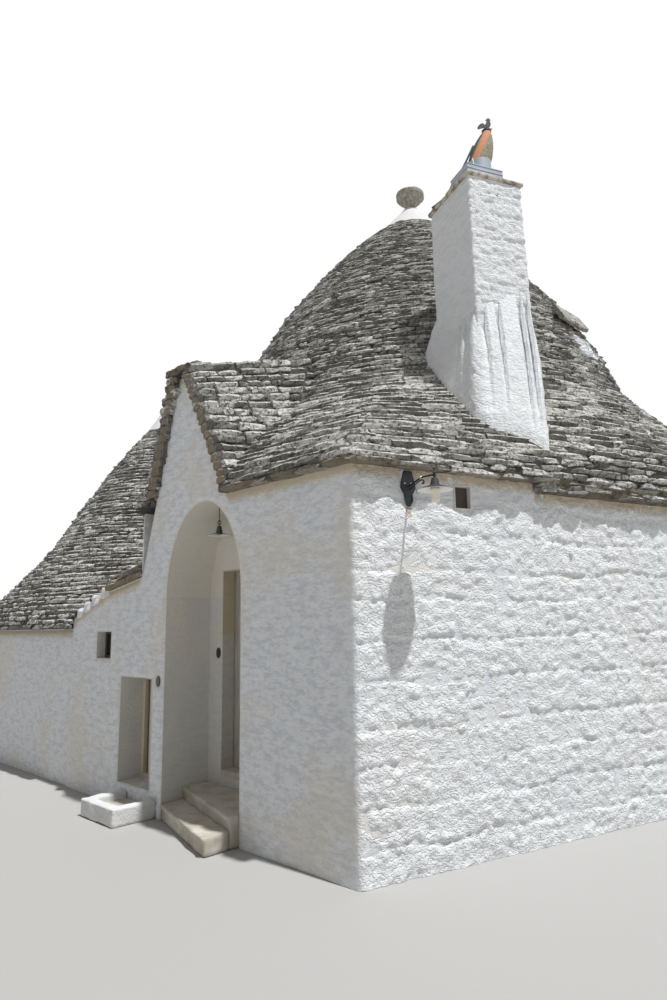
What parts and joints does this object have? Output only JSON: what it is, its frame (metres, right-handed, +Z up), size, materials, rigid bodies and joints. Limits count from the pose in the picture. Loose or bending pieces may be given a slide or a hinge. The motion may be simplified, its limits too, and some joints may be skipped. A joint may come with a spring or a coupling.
{
  "type": "trullo house",
  "caption": "Limewashed dry-stone trullo house with a corbelled cone roof, gabled arched niche, low annex with a smaller cone, and a chimney with cowl and weathercock.",
  "frame": {"origin": "on the ground at the middle of the entrance niche, on the face of the front wall", "axes": "+Z up, +X right along the front wall, +Y from the front wall into the house"},
  "size_m": [10.7366, 8.9803, 8.8264],
  "materials": {
    "limewash": "matte",
    "roof_stone": "matte",
    "cap_limewash": "matte",
    "step_stone": "matte",
    "chimney_stone": "matte",
    "dark_iron": "satin",
    "door_wood": "satin",
    "vent_brown": "matte",
    "window_pane": "gloss",
    "roof_tile": "matte",
    "zinc_sheet": "satin",
    "pinnacle_stone": "matte",
    "cream_paint": "satin",
    "green_enamel": "gloss",
    "bulb": "satin",
    "plate_glaze": "gloss"
  },
  "bodies": {
    "house": {"annex_back_wall": "limewash", "annex_cap": "cap_limewash", "annex_cone": "roof_stone", "annex_far_wall": "limewash", "annex_floor": "step_stone", "annex_lower_roof": "roof_stone", "annex_pinnacle": "pinnacle_stone", "annex_wall": "limewash", "back_eave": "roof_stone", "back_wall": "limewash", "chimney_slab": "chimney_stone", "chimney_stack": "limewash", "cowl_collar": "zinc_sheet", "cowl_tile_far": "roof_tile", "cowl_tile_near": "roof_tile", "cowl_tray": "zinc_sheet", "door_sill": "step_stone", "entrance_door": "door_wood", "front_eave": "roof_stone", "front_wall": "limewash", "gable_roof": "roof_stone", "gable_wall": "limewash", "inner_eave": "roof_stone", "inner_wall": "limewash", "lamp_arm": "dark_iron", "lamp_bulb": "bulb", "lamp_plate": "dark_iron", "lamp_shade": "dark_iron", "left_eave": "roof_stone", "left_wall": "limewash", "low_grille": "cream_paint", "lower_roof": "roof_stone", "lower_step": "step_stone", "main_cap": "cap_limewash", "main_cone": "roof_stone", "main_floor": "step_stone", "main_pinnacle": "pinnacle_stone", "niche_back_wall": "limewash", "niche_plate": "plate_glaze", "party_wall": "limewash", "pendant_rod": "dark_iron", "pendant_shade": "green_enamel", "portal_pier": "limewash", "ridge_slab": "roof_stone", "side_eave": "roof_stone", "side_wall": "limewash", "side_wall_far": "limewash", "side_wall_near": "limewash", "small_window": "window_pane", "upper_step": "step_stone", "vane_spindle": "dark_iron", "vent_panel": "vent_brown", "vent_surround": "limewash", "wall_plate": "plate_glaze", "well_floor": "step_stone", "well_kerb": "limewash"},
    "vane": {"weathercock": "dark_iron"}
  },
  "joints": [
    {"name": "weathercock_turn", "type": "hinge", "parent": "house", "child": "vane", "pos_m": [2.02864, 2.27975, 7.18], "axis": [0, 0, 1], "continuous": true}
  ]
}
